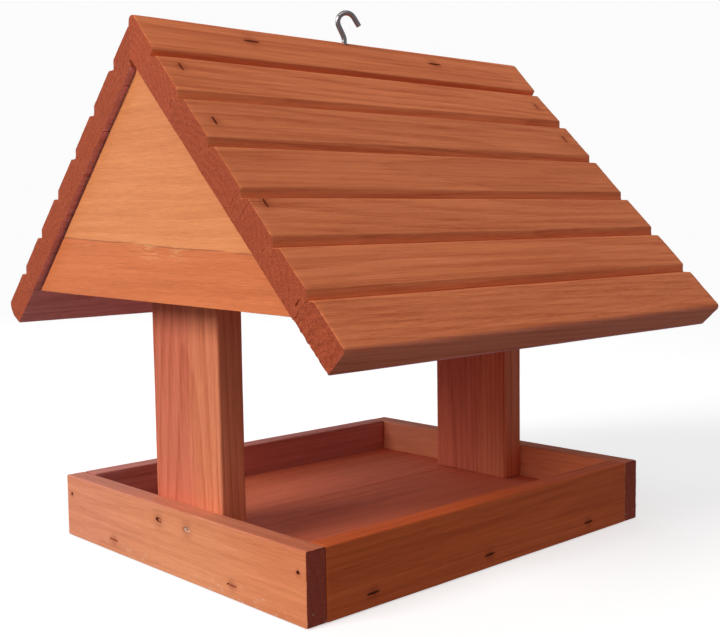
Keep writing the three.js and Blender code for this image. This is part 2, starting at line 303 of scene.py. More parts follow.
class Graph:
    """A short way to write a material's nodes."""

    def __init__(self, name):
        self.material = bpy.data.materials.new(name)
        self.material.use_nodes = True
        self.tree = self.material.node_tree
        self.shader = self.tree.nodes["Principled BSDF"]

    def put(self, value, socket):
        if isinstance(value, bpy.types.NodeSocket):
            self.tree.links.new(value, socket)
        elif hasattr(value, "__len__") and len(value) == 3 and socket.type == "RGBA":
            socket.default_value = (*value, 1)
        else:
            socket.default_value = value

    def node(self, kind, **settings):
        node = self.tree.nodes.new(kind)
        for key, value in settings.items():
            setattr(node, key, value)
        return node

    def math(self, operation, a, b=0.0, clamp=False):
        node = self.node("ShaderNodeMath", operation=operation, use_clamp=clamp)
        self.put(a, node.inputs[0])
        self.put(b, node.inputs[1])
        return node.outputs[0]

    def add(self, a, b, clamp=False):
        return self.math("ADD", a, b, clamp)

    def times(self, a, b):
        return self.math("MULTIPLY", a, b)

    def scaled(self, vector, factors):
        node = self.node("ShaderNodeVectorMath", operation="MULTIPLY")
        self.put(vector, node.inputs[0])
        self.put(factors, node.inputs[1])
        return node.outputs[0]

    def noise(self, vector, detail=2.0, roughness=0.5, distortion=0.0):
        node = self.node("ShaderNodeTexNoise")
        self.put(vector, node.inputs["Vector"])
        node.inputs["Scale"].default_value = 1.0
        node.inputs["Detail"].default_value = detail
        node.inputs["Roughness"].default_value = roughness
        node.inputs["Distortion"].default_value = distortion
        return node.outputs["Fac"]

    def between(self, value, low, high, to_low=0.0, to_high=1.0):
        """The value's place between low and high, clamped, as a number from to_low to to_high."""
        node = self.node("ShaderNodeMapRange", interpolation_type="SMOOTHSTEP")
        self.put(value, node.inputs["Value"])
        for name, number in (("From Min", low), ("From Max", high)):
            self.put(number, node.inputs[name])
        for name, number in (("To Min", to_low), ("To Max", to_high)):
            self.put(number, node.inputs[name])
        return node.outputs["Result"]

    def ramp(self, value, stops):
        node = self.node("ShaderNodeValToRGB")
        self.put(value, node.inputs["Fac"])
        elements = node.color_ramp.elements
        while len(elements) < len(stops):
            elements.new(0.5)
        for element, (position, colour) in zip(elements, stops):
            element.position = position
            element.color = (*colour, 1)
        return node.outputs["Color"]

    def mix(self, factor, a, b, blend="MIX"):
        node = self.node("ShaderNodeMix", data_type="RGBA", blend_type=blend)
        self.put(factor, node.inputs["Factor"])
        self.put(a, node.inputs["A"])
        self.put(b, node.inputs["B"])
        return next(o for o in node.outputs if o.type == "RGBA")

    def attribute(self, name, output="Fac"):
        return self.node("ShaderNodeAttribute", attribute_name=name).outputs[output]

    def axes(self, vector):
        node = self.node("ShaderNodeSeparateXYZ")
        self.put(vector, node.inputs[0])
        return node.outputs

    def place(self):
        """Where a point is in the part's frame, in metres."""
        return self.node("ShaderNodeTexCoord").outputs["Object"]

    def bump(self, height, distance):
        node = self.node("ShaderNodeBump")
        node.inputs["Strength"].default_value = 1.0
        node.inputs["Distance"].default_value = distance
        self.put(height, node.inputs["Height"])
        return node.outputs[0]

    def surface(self, **inputs):
        for name, value in inputs.items():
            self.put(value, self.shader.inputs[name.replace("_", " ")])


def tinted(colour, factors):
    return tuple(min(1.0, c * f) for c, f in zip(colour, factors))


# Factors on a wood's own colour.
PALE = (1.22, 1.34, 1.42)
DEEP = (0.80, 0.66, 0.60)
DARK = (0.56, 0.38, 0.34)
WORN = (1.5, 1.75, 1.8)
IRON = (0.42, 0.24, 0.22)
# Factors on its end grain's colour.
END_PALE = (1.35, 1.45, 1.35)
END_DARK = (0.62, 0.5, 0.52)
END_TORN = (1.9, 2.4, 1.9)
# How much each layer of the grain darkens the wood.
LATE, STREAK, FIBRE, BLOTCH, PORE = 0.18, 0.32, 0.28, 0.16, 0.16


def wood(name, colour, end_colour, rings=1.0, streaks=1.0, roughness=0.56, density=0.2, marks=None):
    """Stained softwood as a solid texture. The grain attribute holds each point's place in its
    own board, in millimetres: along the fibres, and twice across them from the tree's heart."""
    g = Graph(name)
    grain = g.attribute("grain", "Vector")
    end = g.attribute("end")
    wear = g.attribute("wear")
    stain = g.attribute("stain")

    # Growth rings: pale early wood that darkens slowly to a thin, sharp line of late wood.
    sway = g.noise(g.scaled(grain, (0.004, 0.02, 0.02)), detail=2.0)
    waver = g.noise(g.scaled(grain, (0.016, 0.12, 0.12)), detail=2.0)
    _, across, through = g.axes(grain)
    from_heart = g.math("SQRT", g.add(g.times(across, across), g.times(through, through)))
    ring = g.add(g.times(from_heart, density), g.add(g.times(sway, 2.2), g.times(waver, 0.3)))
    phase = g.math("FRACT", ring)
    late = g.times(g.between(phase, 0.25, 0.9), g.between(phase, 1.0, 0.93))

    # Fibres and the stain that they take up unevenly.
    fibre = g.noise(g.scaled(grain, (0.045, 2.6, 2.6)), detail=3.0, roughness=0.6)
    streak = g.noise(g.scaled(grain, (0.006, 0.42, 0.42)), detail=4.0, roughness=0.6)
    blotch = g.noise(g.scaled(grain, (0.006, 0.075, 0.075)), detail=4.0, roughness=0.6)
    pores = g.noise(g.scaled(grain, (0.16, 5.5, 5.5)), detail=1.0)
    pore = g.between(pores, 0.66, 0.78)

    streaked = g.times(g.between(streak, 0.3, 0.72), STREAK * streaks)
    tone = g.add(g.times(late, LATE * rings), streaked)
    tone = g.add(tone, g.times(g.between(fibre, 0.25, 0.75), FIBRE))
    tone = g.add(tone, g.times(g.between(blotch, 0.3, 0.7), BLOTCH))
    tone = g.add(tone, g.times(pore, PORE))
    side = g.ramp(tone, [
        (0.06, tinted(colour, PALE)),
        (0.46, colour),
        (0.78, tinted(colour, DEEP)),
        (1.0, tinted(colour, DARK)),
    ])

    # End grain: sawn across the fibres, darker, speckled, with torn pale flecks.
    speck = g.noise(g.scaled(grain, (0.9, 1.5, 1.5)), detail=4.0, roughness=0.7)
    fleck = g.noise(g.scaled(grain, (0.6, 0.8, 2.4)), detail=3.0, roughness=0.65)
    end_tone = g.add(g.times(late, 0.12), g.times(g.between(speck, 0.3, 0.72), 0.85))
    end_face = g.ramp(end_tone, [
        (0.08, tinted(end_colour, END_PALE)),
        (0.5, end_colour),
        (0.95, tinted(end_colour, END_DARK)),
    ])
    torn = g.times(g.between(fleck, 0.62, 0.74), 0.5)
    end_face = g.mix(torn, end_face, tinted(end_colour, END_TORN))
    shown = g.mix(end, side, end_face)

    # Arrises lose some stain, and iron stains the wood round each fastener.
    worn = g.times(g.times(wear, g.between(streak, 0.62, 0.38)), 0.24)
    shown = g.mix(worn, shown, tinted(colour, WORN))
    shown = g.mix(g.times(stain, 0.5), shown, tinted(colour, IRON))
    if marks:
        shown = marks(g, shown)
    shown = g.scaled(shown, g.attribute("tint"))

    rough = g.add(g.times(fibre, 0.22), roughness - 0.11)
    rough = g.add(rough, g.times(end, 0.2), clamp=True)
    relief = g.add(g.times(fibre, 0.55), g.times(late, -0.3))
    relief = g.add(relief, g.times(pore, -0.35))
    relief = g.add(relief, g.times(g.times(end, speck), 3.2))
    g.surface(Base_Color=shown, Roughness=rough, Normal=g.bump(relief, 0.00022))
    g.shader.inputs["Specular IOR Level"].default_value = 0.16
    return g.material


def band(g, value, centre, half, soft):
    """1 within half of the centre, falling to 0 over the soft width."""
    away = g.math("ABSOLUTE", g.math("SUBTRACT", value, centre))
    return g.between(away, half + soft, half)


def gable_marks(g, shown):
    """The lower part is redder, under a tilted line of torn fibres."""
    _, y, z = g.axes(g.place())
    waver = g.noise(g.scaled(g.place(), (60, 18, 60)), detail=3.0)
    line = g.add(g.times(y, 0.042), 0.1972)
    above = g.math("SUBTRACT", z, g.add(line, g.times(g.math("SUBTRACT", waver, 0.5), 0.0022)))
    lower = g.between(above, 0.0006, -0.0008)
    shown = g.mix(g.times(lower, 0.8), shown, g.mix(1.0, shown, (0.90, 0.66, 0.62), "MULTIPLY"))
    fine = g.noise(g.scaled(g.place(), (90, 30, 900)), detail=3.0)
    crack = g.times(band(g, above, 0.0, 0.0001, 0.0006), g.between(fine, 0.34, 0.5))
    shown = g.mix(g.times(crack, 0.6), shown, (0.30, 0.085, 0.035))
    torn = g.noise(g.scaled(g.place(), (200, 75, 620)), detail=4.0, roughness=0.7, distortion=0.6)
    middle = band(g, y, -0.014, 0.014, 0.024)
    by_line = g.times(band(g, above, -0.003, 0.002, 0.005), middle)
    pale = g.times(by_line, g.between(torn, 0.48, 0.66))
    shown = g.mix(g.times(pale, 0.55), shown, (0.90, 0.46, 0.20))
    dark = g.noise(g.scaled(g.place(), (150, 60, 800)), detail=4.0, roughness=0.7)
    on_line = g.times(band(g, above, -0.0022, 0.0022, 0.003), middle)
    split = g.times(on_line, g.between(dark, 0.6, 0.68))
    shown = g.mix(g.times(split, 0.8), shown, (0.30, 0.08, 0.03))
    faint = g.noise(g.scaled(g.place(), (100, 22, 420)), detail=4.0, roughness=0.65, distortion=0.8)
    scuff = g.times(band(g, above, -0.016, 0.010, 0.012), g.between(faint, 0.62, 0.72))
    return g.mix(g.times(scuff, 0.22), shown, (0.90, 0.46, 0.22))


def post_marks(g, shown):
    """A paler, more orange stripe near the post's front arris."""
    _, y, _ = g.axes(g.place())
    waver = g.noise(g.scaled(g.place(), (30, 40, 9)), detail=3.0)
    stripe = band(g, g.add(y, g.times(waver, 0.012)), -0.017, 0.008, 0.014)
    return g.mix(g.times(stripe, 0.75), shown, g.mix(1.0, shown, (1.16, 1.42, 1.22), "MULTIPLY"))


def roof_marks_and_shade(g, shown):
    """Undersides tinted greyer and bluer and a darker, bluer eave edge, both painted shade, and a
    scratch from the end of the fifth front board.
    """
    x, y, z = g.axes(g.place())
    away = g.math("ABSOLUTE", y)
    height = g.add(z, -0.3248)
    out = g.times(g.add(away, height), SLANT)  # from the slope's face
    down = g.times(g.math("SUBTRACT", away, height), SLANT)  # from the apex
    # Painted shade: the undersides are tinted greyer and much bluer, for the cool light in the roof's
    # shade.
    under = g.times(g.between(out, -0.0160, -0.0174), g.math("SUBTRACT", 1.0, g.attribute("end")))
    shown = g.mix(under, shown, g.mix(1.0, shown, (1.1, 1.45, 3.3), "MULTIPLY"))
    # Painted shade: the eave's lower edge is tinted a little darker and bluer.
    eave = g.between(down, 0.2462, 0.2476)
    shown = g.mix(eave, shown, g.mix(1.0, shown, (0.95, 0.93, 1.25), "MULTIPLY"))
    front = g.between(y, -0.09, -0.10)
    waver = g.noise(g.scaled(g.place(), (300, 300, 300)), detail=2.0)
    line = band(g, g.add(down, g.times(waver, 0.0016)), 0.1498, 0.0001, 0.0004)
    scratch = g.times(g.times(line, front), g.between(x, -0.154, -0.157))
    return g.mix(g.times(scratch, 0.6), shown, (0.22, 0.03, 0.012))


def end_rail_marks_and_shade(g, shown):
    """Redder towards its lower edges, with pale scuffs low down and painted shade on its top face."""
    _, y, z = g.axes(g.place())
    cloud = g.noise(g.scaled(g.place(), (20, 14, 34)), detail=4.0, roughness=0.6)
    grey = g.times(g.between(g.add(y, g.times(cloud, 0.09)), 0.03, 0.15), 0.6)
    shown = g.mix(grey, shown, g.mix(1.0, shown, (0.92, 0.90, 1.14), "MULTIPLY"))
    red = g.times(g.between(g.add(y, g.times(cloud, 0.05)), 0.0, -0.09), 0.8)
    shown = g.mix(red, shown, g.mix(1.0, shown, (0.93, 0.77, 0.68), "MULTIPLY"))
    # Painted shade: the top face is darker and a little bluer than the outer face.
    shaded_top = g.between(z, 0.0392, 0.0408)
    shown = g.mix(shaded_top, shown, g.mix(1.0, shown, (0.80, 0.75, 0.86), "MULTIPLY"))
    scuffs = g.noise(g.scaled(g.place(), (240, 150, 260)), detail=5.0, roughness=0.75)
    low = g.times(g.between(z, 0.016, 0.001), g.between(scuffs, 0.56, 0.68))
    return g.mix(g.times(low, 0.55), shown, (0.93, 0.62, 0.46))


# ---------------------------------------------------------------- the boards

ROOF_COLOUR = (0.71, 0.19, 0.071)
ROOF_END = (0.44, 0.080, 0.031)
GABLE_COLOUR = (0.75, 0.25, 0.088)
END_RAIL_COLOUR = (0.76, 0.268, 0.122)
END_RAIL_END = (0.37, 0.072, 0.046)
# Painted shade: the front rail's copy of the tray's wood is darker and deeper than the end rails'.
SIDE_RAIL_SHADED_COLOUR = (0.56, 0.100, 0.024)
# Painted light: the back rail's copy of the tray's wood is greyer and bluer, for the cool light inside
# the tray.
BACK_RAIL_COOL_LIT_COLOUR = (0.60, 0.205, 0.16)
POST_COLOUR = (0.65, 0.165, 0.088)
FLOOR_COLOUR = (0.64, 0.15, 0.07)

MATERIALS = {
    "roof_wood": wood("roof_wood", ROOF_COLOUR, ROOF_END, density=0.26, marks=roof_marks_and_shade),
    "gable_wood": wood(
        "gable_wood", GABLE_COLOUR, ROOF_END, 0.3, 0.6, density=0.1, marks=gable_marks
    ),
    "tray_end": wood(
        "tray_end_wood", END_RAIL_COLOUR, END_RAIL_END, 0.4, 0.7, density=0.16, marks=end_rail_marks_and_shade
    ),
    "tray_side_front": wood("tray_side_front_shaded_wood", SIDE_RAIL_SHADED_COLOUR, ROOF_END, 0.7, 0.9),
    "tray_side_back": wood("tray_side_back_cool_lit_wood", BACK_RAIL_COOL_LIT_COLOUR, ROOF_END, 0.7, 0.9),
    "floor_wood": wood("floor_wood", FLOOR_COLOUR, ROOF_END, 0.5, 0.6, 0.66),
    "post_wood": wood("post_wood", POST_COLOUR, ROOF_END, 1.3, 0.9, density=0.26, marks=post_marks),
}

# How a kind of board is made: the axis that its section runs along, the fibres' axis, the
# widest way across them and the way through its thickness, its record slot and its material.
KINDS = {
    "roof_front": (0, X, FRONT_DOWN, FRONT_OUT, "roof_wood", "roof_wood"),
    "roof_back": (0, X, BACK_DOWN, BACK_OUT, "roof_wood", "roof_wood"),
    "gable": (0, Y, Z, X, "gable_wood", "gable_wood"),
    "tray_end": (1, Y, Z, X, "tray_wood", "tray_end"),
    "tray_side_front": (0, X, Z, Y, "tray_wood", "tray_side_front"),
    "tray_side_back": (0, X, Z, Y, "tray_wood", "tray_side_back"),
    "floor_board": (0, X, Y, Z, "floor_wood", "floor_wood"),
    "post": (2, Z, Y, X, "post_wood", "post_wood"),
}
GROWTH = {"roof_front": 0.14, "roof_back": 0.14}  # closes the CAD model's working gaps
EASING = {"roof_front": 1.0, "roof_back": 1.0, "gable": 0.8, "floor_board": 0.4}
PLAIN_EASING = 0.6
STEP = 1.25  # between the section's points
STATION = 5.0  # between the stations along a board
END_STATIONS = (0.35, 0.9, 1.8, 3.0)  # closer ones, as depths from a board's ends
END_REACH = 1.6  # how far from its ends a board's arrises are torn
CAP_STEP = {"gable": 2.2}
PLAIN_CAP_STEP = 1.1
# The surface's unevenness, as the noise's size along the fibres and twice across, and its height.
SWELLS = [((110, 22, 22), 0.16), ((26, 3.5, 3.5), 0.06), ((9, 1.3, 1.3), 0.035)]
# How rough a sawn end is: a roof board's, another board's, and an end along the fibres.
ROOF_ROUGH, END_ROUGH, SIDE_ROUGH = 0.6, 0.4, 0.06
TORN_BOARD, TORN = "roof_front_board_7", 3.2  # its near end is torn this many times as much
# How light a board is beside the others of its kind.
TINT = {"roof_front_board_1": 1.14, "roof_front_board_2": 1.09, "roof_front_board_6": 1.04}


def kind_of(node):
    return next(kind for kind in KINDS if node.startswith(kind))


def stations(low, high, hot):
    """Places along a board: even ones, closer ones at its ends and by its fasteners."""
    places = list(np.linspace(low, high, max(2, round((high - low) / STATION)) + 1))
    for depth in END_STATIONS:
        places += [low + depth, high - depth]
    for centre in hot:
        places += [p for p in np.arange(centre - 6, centre + 6.1, 1.0) if low + 3 < p < high - 3]
    places.sort()
    kept = [places[0]]
    for place in places[1:]:
        if place - kept[-1] > 0.3:
            kept.append(place)
    kept[-1] = high
    return np.array(kept)


def swell(points, grain_axes, seed):
    """The uneven surface of a planed and stained board, in millimetres out of its face."""
    local = points @ grain_axes.T
    return sum(height * noise(local, cell, seed + i) for i, (cell, height) in enumerate(SWELLS))


def meeting(node, run, section):
    """Which of a roof board's points lie against another roof board."""
    found = np.zeros(len(section), bool)
    if "roof" in node:
        for other in frame["nodes"]:
            if other != node and "board" in other and other.startswith("roof"):
                found |= distance_to(section, spaced(end_loop(other, run), 0.8)) < 0.75
    return found


def make_board(node, number, hot):
    kind = kind_of(node)
    run, along, across, through, slot, material = KINDS[kind]
    grain_axes = np.array([along, across, through])
    seed = SEED + number * 7
    others = [a for a in range(3) if a != run]
    corners = end_loop(node, run)
    loop = corners + GROWTH.get(kind, 0.0) * outward_normals(corners)
    easing = EASING.get(kind, PLAIN_EASING)
    section = spaced(eased(loop, easing), STEP)
    count = len(section)
    normals = outward_normals(section)
    co = vertices(node)
    low, high = co[:, run].min(), co[:, run].max()
    places = stations(low, high, hot)
    cross_cut = abs(along[run]) > 0.5  # the ends are sawn across the fibres
    rough = (ROOF_ROUGH if "roof" in node else END_ROUGH) if cross_cut else SIDE_ROUGH
    torn = TORN if node == TORN_BOARD else 1.0
    free = 1.0 - meeting(node, run, section)
    depth_in = section @ through[others]
    underside = np.zeros(count)
    if "roof" in node:
        underside = np.exp(-((depth_in - depth_in.min()) / 1.2) ** 2)

    def in_frame(flat, place):
        full = np.empty((len(flat), 3))
        full[:, others] = flat
        full[:, run] = place
        return full

    def sawn(full, sign):
        """How far the saw and torn fibres leave a point short of the end."""
        coarse = noise(full, (3.5, 3.5, 3.5), SEED + 3) * 0.5 + 0.5
        fine = noise(full, (1.1, 1.1, 1.1), SEED + 4) * 0.5 + 0.5
        strength = rough * (min(torn, 2.0) if sign < 0 else 1.0)
        return strength * (0.6 * coarse + 0.4 * fine)

    points = []
    for place in places:
        full = in_frame(section, place)
        depth = min(place - low, high - place)
        edge = max(0.0, 1 - depth / END_REACH) ** 2
        ragged = np.abs(noise(full, (1.5, 1.5, 1.5), seed + 5))
        tear = 0.5 * rough * ragged * (torn if place < 0 else 1.0) * (1 + 1.6 * underside)
        deepest = 0.5 if torn == 1 else 1.0
        pull = edge * (0.5 * min(easing, PLAIN_EASING) + np.minimum(tear, deepest))
        moved = (swell(full, grain_axes, seed) - pull) * free
        full[:, others] += normals * moved[:, None]
        if place in (low, high):
            sign = 1 if place == high else -1
            full[:, run] -= sign * sawn(full, sign)
        points.append(full)
    points = np.vstack(points)
    faces = tube_faces(len(places), count)[:-2]

    for sign, place, first in ((-1, low, 0), (1, high, (len(places) - 1) * count)):
        added, cap_faces = cap(section, CAP_STEP.get(kind, PLAIN_CAP_STEP), seed + 6)
        full = in_frame(added, place)
        full[:, run] -= sign * sawn(full, sign)
        if not cross_cut:
            full[:, run] += sign * swell(full, grain_axes, seed)
        base = len(points)
        points = np.vstack([points, full])
        for face in cap_faces:
            ids = tuple(first + i if i < count else base + i - count for i in face)
            faces.append(ordered(ids, points, run, sign))
    if run == 1:  # the other two axes, x and z, make a left-handed set with it
        wall = (len(places) - 1) * count
        faces[:wall] = [face[::-1] for face in faces[:wall]]
    piece = new_piece(node, points, faces, MATERIALS[material])
    return piece, corners, others


def finish_board(piece, node, number, corners, others, fasteners):
    """What the wood's nodes read: the place in the board, end grain, arrises and iron stain."""
    kind = kind_of(node)
    _, along, across, through, _, _ = KINDS[kind]
    mesh = piece.data
    co = np.empty(len(mesh.vertices) * 3, np.float32)
    mesh.vertices.foreach_get("co", co)
    co = co.reshape(-1, 3).astype(float) / MM
    middle = (co.min(axis=0) + co.max(axis=0)) / 2
    random = np.random.default_rng(SEED + number)
    heart = np.array([random.uniform(0, 900), random.uniform(-30, 30), random.uniform(18, 70)])
    tilt = random.uniform(-0.05, 0.05)
    local = (co - middle) @ np.array([along, across, through]).T
    local[:, 2] += tilt * local[:, 0]
    store(mesh, "grain", "FLOAT_VECTOR", "POINT", "vector", local + heart)

    sharp = corners[np.abs(turns_of(corners)) > math.radians(28)]
    wear = np.exp(-distance_to(co[:, others], sharp) / 0.9)
    store(mesh, "wear", "FLOAT", "POINT", "value", wear)

    stain = np.zeros(len(co))
    for origin, reach in fasteners:
        away = np.linalg.norm(co - origin, axis=1)
        stain = np.maximum(stain, np.exp(-((away / reach) ** 2)))
    store(mesh, "stain", "FLOAT", "POINT", "value", stain)
    store(mesh, "tint", "FLOAT", "POINT", "value", np.full(len(co), TINT.get(node, 1.0)))

    normals = np.empty(len(mesh.polygons) * 3, np.float32)
    mesh.polygons.foreach_get("normal", normals)
    facing = np.abs(normals.reshape(-1, 3) @ along)
    store(mesh, "end", "FLOAT", "FACE", "value", facing > 0.6)
    shade(piece, 40)


# ---------------------------------------------------------------- fasteners

def placed(node, outward, along):
    """A fastener's own frame, from its CAD node: z out of the wood from the top of its head or
    crown. Returns the origin and the three axes as rows."""
    co = vertices(node)
    side = np.cross(outward, along)
    axes = np.array([along, side, outward])
    local = co @ axes.T
    middle = (local.min(axis=0) + local.max(axis=0)) / 2
    middle[2] = local[:, 2].max()
    return middle @ axes, axes


def in_place(local, origin, axes):
    return np.asarray(local) @ axes + origin


def turned(profile, around, wobble=0.0, seed=0):
    """Rings of points round z for (radius, z) pairs, and their faces."""
    angles = np.arange(around) * 2 * math.pi / around
    rings = []
    for radius, z in profile:
        ring = np.stack([np.cos(angles), np.sin(angles), np.zeros(around)], axis=1)
        out = 1 + wobble * noise(ring * 3 + z, (1, 1, 1), seed)
        ring[:, :2] *= (radius * out)[:, None]
        ring[:, 2] = z
        rings.append(ring)
    return np.vstack(rings), tube_faces(len(rings), around)


def pocket(levels, origin, axes, seed, around=28, power=0.62, torn=0.1):
    """A cutter with a ragged section, an oval or nearer a rectangle the lower the power is.
    levels are (z, half length, half width)."""
    angles = np.arange(around) * 2 * math.pi / around
    rings = []
    for z, half_length, half_width in levels:
        c, s = np.cos(angles), np.sin(angles)
        ring = np.stack([
            np.sign(c) * np.abs(c) ** power * half_length,
            np.sign(s) * np.abs(s) ** power * half_width,
            np.full(around, z),
        ], axis=1)
        ragged = 1 + torn * noise(ring, (0.9, 0.9, 4), seed)
        ring[:, :2] *= ragged[:, None]
        rings.append(ring)
    return in_place(np.vstack(rings), origin, axes), tube_faces(len(rings), around)


WIRE = 0.8  # a staple's thickness
WIRE_WIDTH = 1.3
STAPLE_BEND = 1.1  # its corners' radius
SCREW = {"head": 3.4, "shank": 1.7, "root": 1.15, "pitch": 1.5, "depth": 2.4}
# A screw head's rim, as (radius less than the head's, z).
SCREW_RIM = ((0.25, -0.55), (0, -0.3), (0, -0.12), (0.15, 0.0))
# A nail's profile, as (radius, z), from its shoulder up to the middle of its domed head.
NAIL_TOP = [(0.82, -0.7), (0.9, -0.4), (0.9, -0.12), (0.72, 0), (0.3, 0.04)]
# What each fastener is sunk in, as (z, half length, half width). A staple's half lengths are
# added to half its crown.
STAPLE_POCKET = [
    (-2.2, -0.2, 0.7), (-0.9, 0.1, 0.72), (0.1, 0.15, 0.75), (0.5, 0.3, 0.85), (3.5, 1.2, 1.7),
]
NAIL_POCKET = [(-1.5, 0.95, 0.95), (0.0, 1.0, 1.0), (0.7, 1.35, 1.3), (3.5, 2.2, 2.1)]
BURIED_POCKET = [(-0.5, 2.6, 1.3), (0.0, 2.8, 1.4), (0.35, 3.0, 1.6), (0.6, 3.4, 1.9), (3.5, 5.4, 3.4)]
SCREW_POCKET = [(-3.2, 1.9, 1.9), (-0.3, 3.5, 3.5), (0.2, 3.7, 3.6), (0.8, 4.7, 4.0), (3.5, 6.4, 5.2)]


def staple_shape(crown, leg):
    """A flattened wire bent to a U, its points cut like chisels."""
    bend = STAPLE_BEND
    half = crown / 2 - WIRE / 2
    path = [(-half, -leg + WIRE / 2), (-half, -leg * 0.5), (-half, -bend - WIRE / 2)]
    for i in range(1, 7):
        a = math.pi - i * math.pi / 12
        path.append((-half + bend + bend * math.cos(a), -WIRE / 2 - bend + bend * math.sin(a)))
    path += [(-half / 2, -WIRE / 2), (0, -WIRE / 2 + 0.05)]
    path = np.array(path + [(-x, z) for x, z in path[-2::-1]])
    along = np.gradient(path, axis=0)
    along /= np.linalg.norm(along, axis=1)[:, None]
    angles = np.arange(14) * 2 * math.pi / 14
    flat = np.stack([
        np.sign(np.cos(angles)) * np.abs(np.cos(angles)) ** 0.55 * WIRE / 2,
        np.sign(np.sin(angles)) * np.abs(np.sin(angles)) ** 0.55 * WIRE_WIDTH / 2,
    ], axis=1)
    rings = []
    for i, ((x, z), (tx, tz)) in enumerate(zip(path, along)):
        thin = 0.25 if i in (0, len(path) - 1) else 1.0
        rings.append([(x - tz * a * thin, b, z + tx * a * thin) for a, b in flat])
    points = np.array(rings).reshape(-1, 3)
    return points, [face[::-1] for face in tube_faces(len(path), len(flat))]


def screw_shape(length, around=30):
    """A countersunk cross-head wood screw with a helical thread."""
    head, shank, root = SCREW["head"], SCREW["shank"], SCREW["root"]
    pitch, depth = SCREW["pitch"], SCREW["depth"]
    angles = np.arange(around) * 2 * math.pi / around
    rings = []
    for z in np.concatenate([np.arange(-length, -depth - 3, 0.3), [-depth - 2.4, -depth]]):
        above_tip = z + length
        phase = (z / pitch - angles / (2 * math.pi)) % 1
        crest = np.clip(1 - np.abs(phase - 0.5) / 0.26, 0, 1)
        taper = min(1.0, 0.08 + above_tip / 5)
        if z < -depth - 3:
            radius = (root + (shank - root) * crest) * taper
        else:
            radius = np.full(around, shank - 0.2)
        rings.append((radius, np.full(around, z)))
    for radius, z in [(2.0, -depth + 0.5), *((head - less, z) for less, z in SCREW_RIM)]:
        rings.append((np.full(around, radius), np.full(around, z)))
    for share in (0.86, 0.72, 0.6, 0.5, 0.4, 0.3, 0.2, 0.1):
        radius = np.full(around, head * share)
        x, y = radius * np.cos(angles), radius * np.sin(angles)
        arm = np.minimum(np.abs(x), np.abs(y))
        reach = np.maximum(np.abs(x), np.abs(y))
        slot = np.clip((0.62 - arm) / 0.25, 0, 1) * np.clip((2.05 - reach) / 0.3, 0, 1)
        rings.append((radius, -1.5 * slot * (1 - 0.35 * share)))
    points = np.vstack([
        np.stack([r * np.cos(angles), r * np.sin(angles), z], axis=1) for r, z in rings
    ])
    return points, tube_faces(len(rings), around)


def nail_shape(length):
    return turned([(0.1, -length), (0.82, -length + 1.9), *NAIL_TOP], 20, 0.03, SEED)


def steel(name, colour, stain, roughness, metallic=1.0):
    """Drawn or pressed wire: fine lines, dull patches and a little grime."""
    g = Graph(name)
    wire = g.attribute("wire", "Vector")
    lines = g.noise(g.scaled(wire, (0.25, 6.0, 6.0)), detail=3.0)
    patch = g.noise(g.scaled(wire, (0.35, 0.5, 0.5)), detail=4.0, roughness=0.65)
    grime = g.between(patch, 0.52, 0.74)
    tone = g.mix(g.between(lines, 0.35, 0.7), colour, tinted(colour, (0.8, 0.79, 0.78)))
    shown = g.mix(g.times(grime, 0.6), tone, stain)
    rough = g.add(g.times(patch, 0.3), roughness - 0.15)
    rough = g.add(rough, g.times(lines, 0.08), clamp=True)
    normal = g.bump(g.add(lines, g.times(patch, 0.6)), 0.00004)
    g.surface(Base_Color=shown, Roughness=rough, Normal=normal)
    g.shader.inputs["Metallic"].default_value = metallic
    return g.material


FASTENER_STEEL = steel("fastener_steel", (0.17, 0.045, 0.022), (0.06, 0.014, 0.008), 0.5)
STAINED_STEEL = steel("stained_steel", (0.62, 0.20, 0.10), (0.30, 0.08, 0.04), 0.6)
# Pale zinc whose light, partly diffuse colour also paints the glint on a screw head.
ZINC_AND_GLINT_STEEL = steel("zinc_and_painted_glint_steel", (0.88, 0.76, 0.62), (0.20, 0.07, 0.04), 0.4, 0.35)
HOOK_STEEL = steel("hook_steel", (0.46, 0.41, 0.42), (0.15, 0.11, 0.10), 0.24)


def add_fastener(node, shape, origin, axes, material):
    points, faces = shape
    piece = new_piece(node, in_place(points, origin, axes), faces, material)
    store(piece.data, "wire", "FLOAT_VECTOR", "POINT", "vector", points[:, [2, 0, 1]])
    shade(piece, 35)


def fastener_facts(node):
    """What is driven where: the way out of the wood, the way a crown or oval runs, the board
    that it is cut into, and the reach of its stain in millimetres."""
    left = -X if "left" in node else X
    end = "left" if "left" in node else "right"
    if node.startswith("ridge_staple"):
        return FRONT_OUT, X, "roof_front_board_1", 5.0
    if node.startswith("roof_staple"):
        _, _, slope, board, _ = node.split("_")
        outward, down = (FRONT_OUT, FRONT_DOWN) if slope == "front" else (BACK_OUT, BACK_DOWN)
        return outward, down, f"roof_{slope}_board_{board}", 4.0
    if node.startswith("floor_staple"):
        place = node.split("_")[2]
        if place in ("front", "back"):
            return Y * (-1 if place == "front" else 1), X, f"tray_side_{place}", 3.6
        return left, Y, f"tray_end_{place}", 3.6
    if node.startswith("post_screw"):
        return left, Y, f"tray_end_{end}", 4.6
    if node.startswith("corner_nail"):
        return left, Y, f"tray_end_{end}", 2.0
    return -left, Y, f"post_{end}", 4.6  # a gable screw


def length_of(node, outward):
    depth = vertices(node) @ outward
    return depth.max() - depth.min()


def crown_of(node, along):
    width = vertices(node) @ along
    return width.max() - width.min()


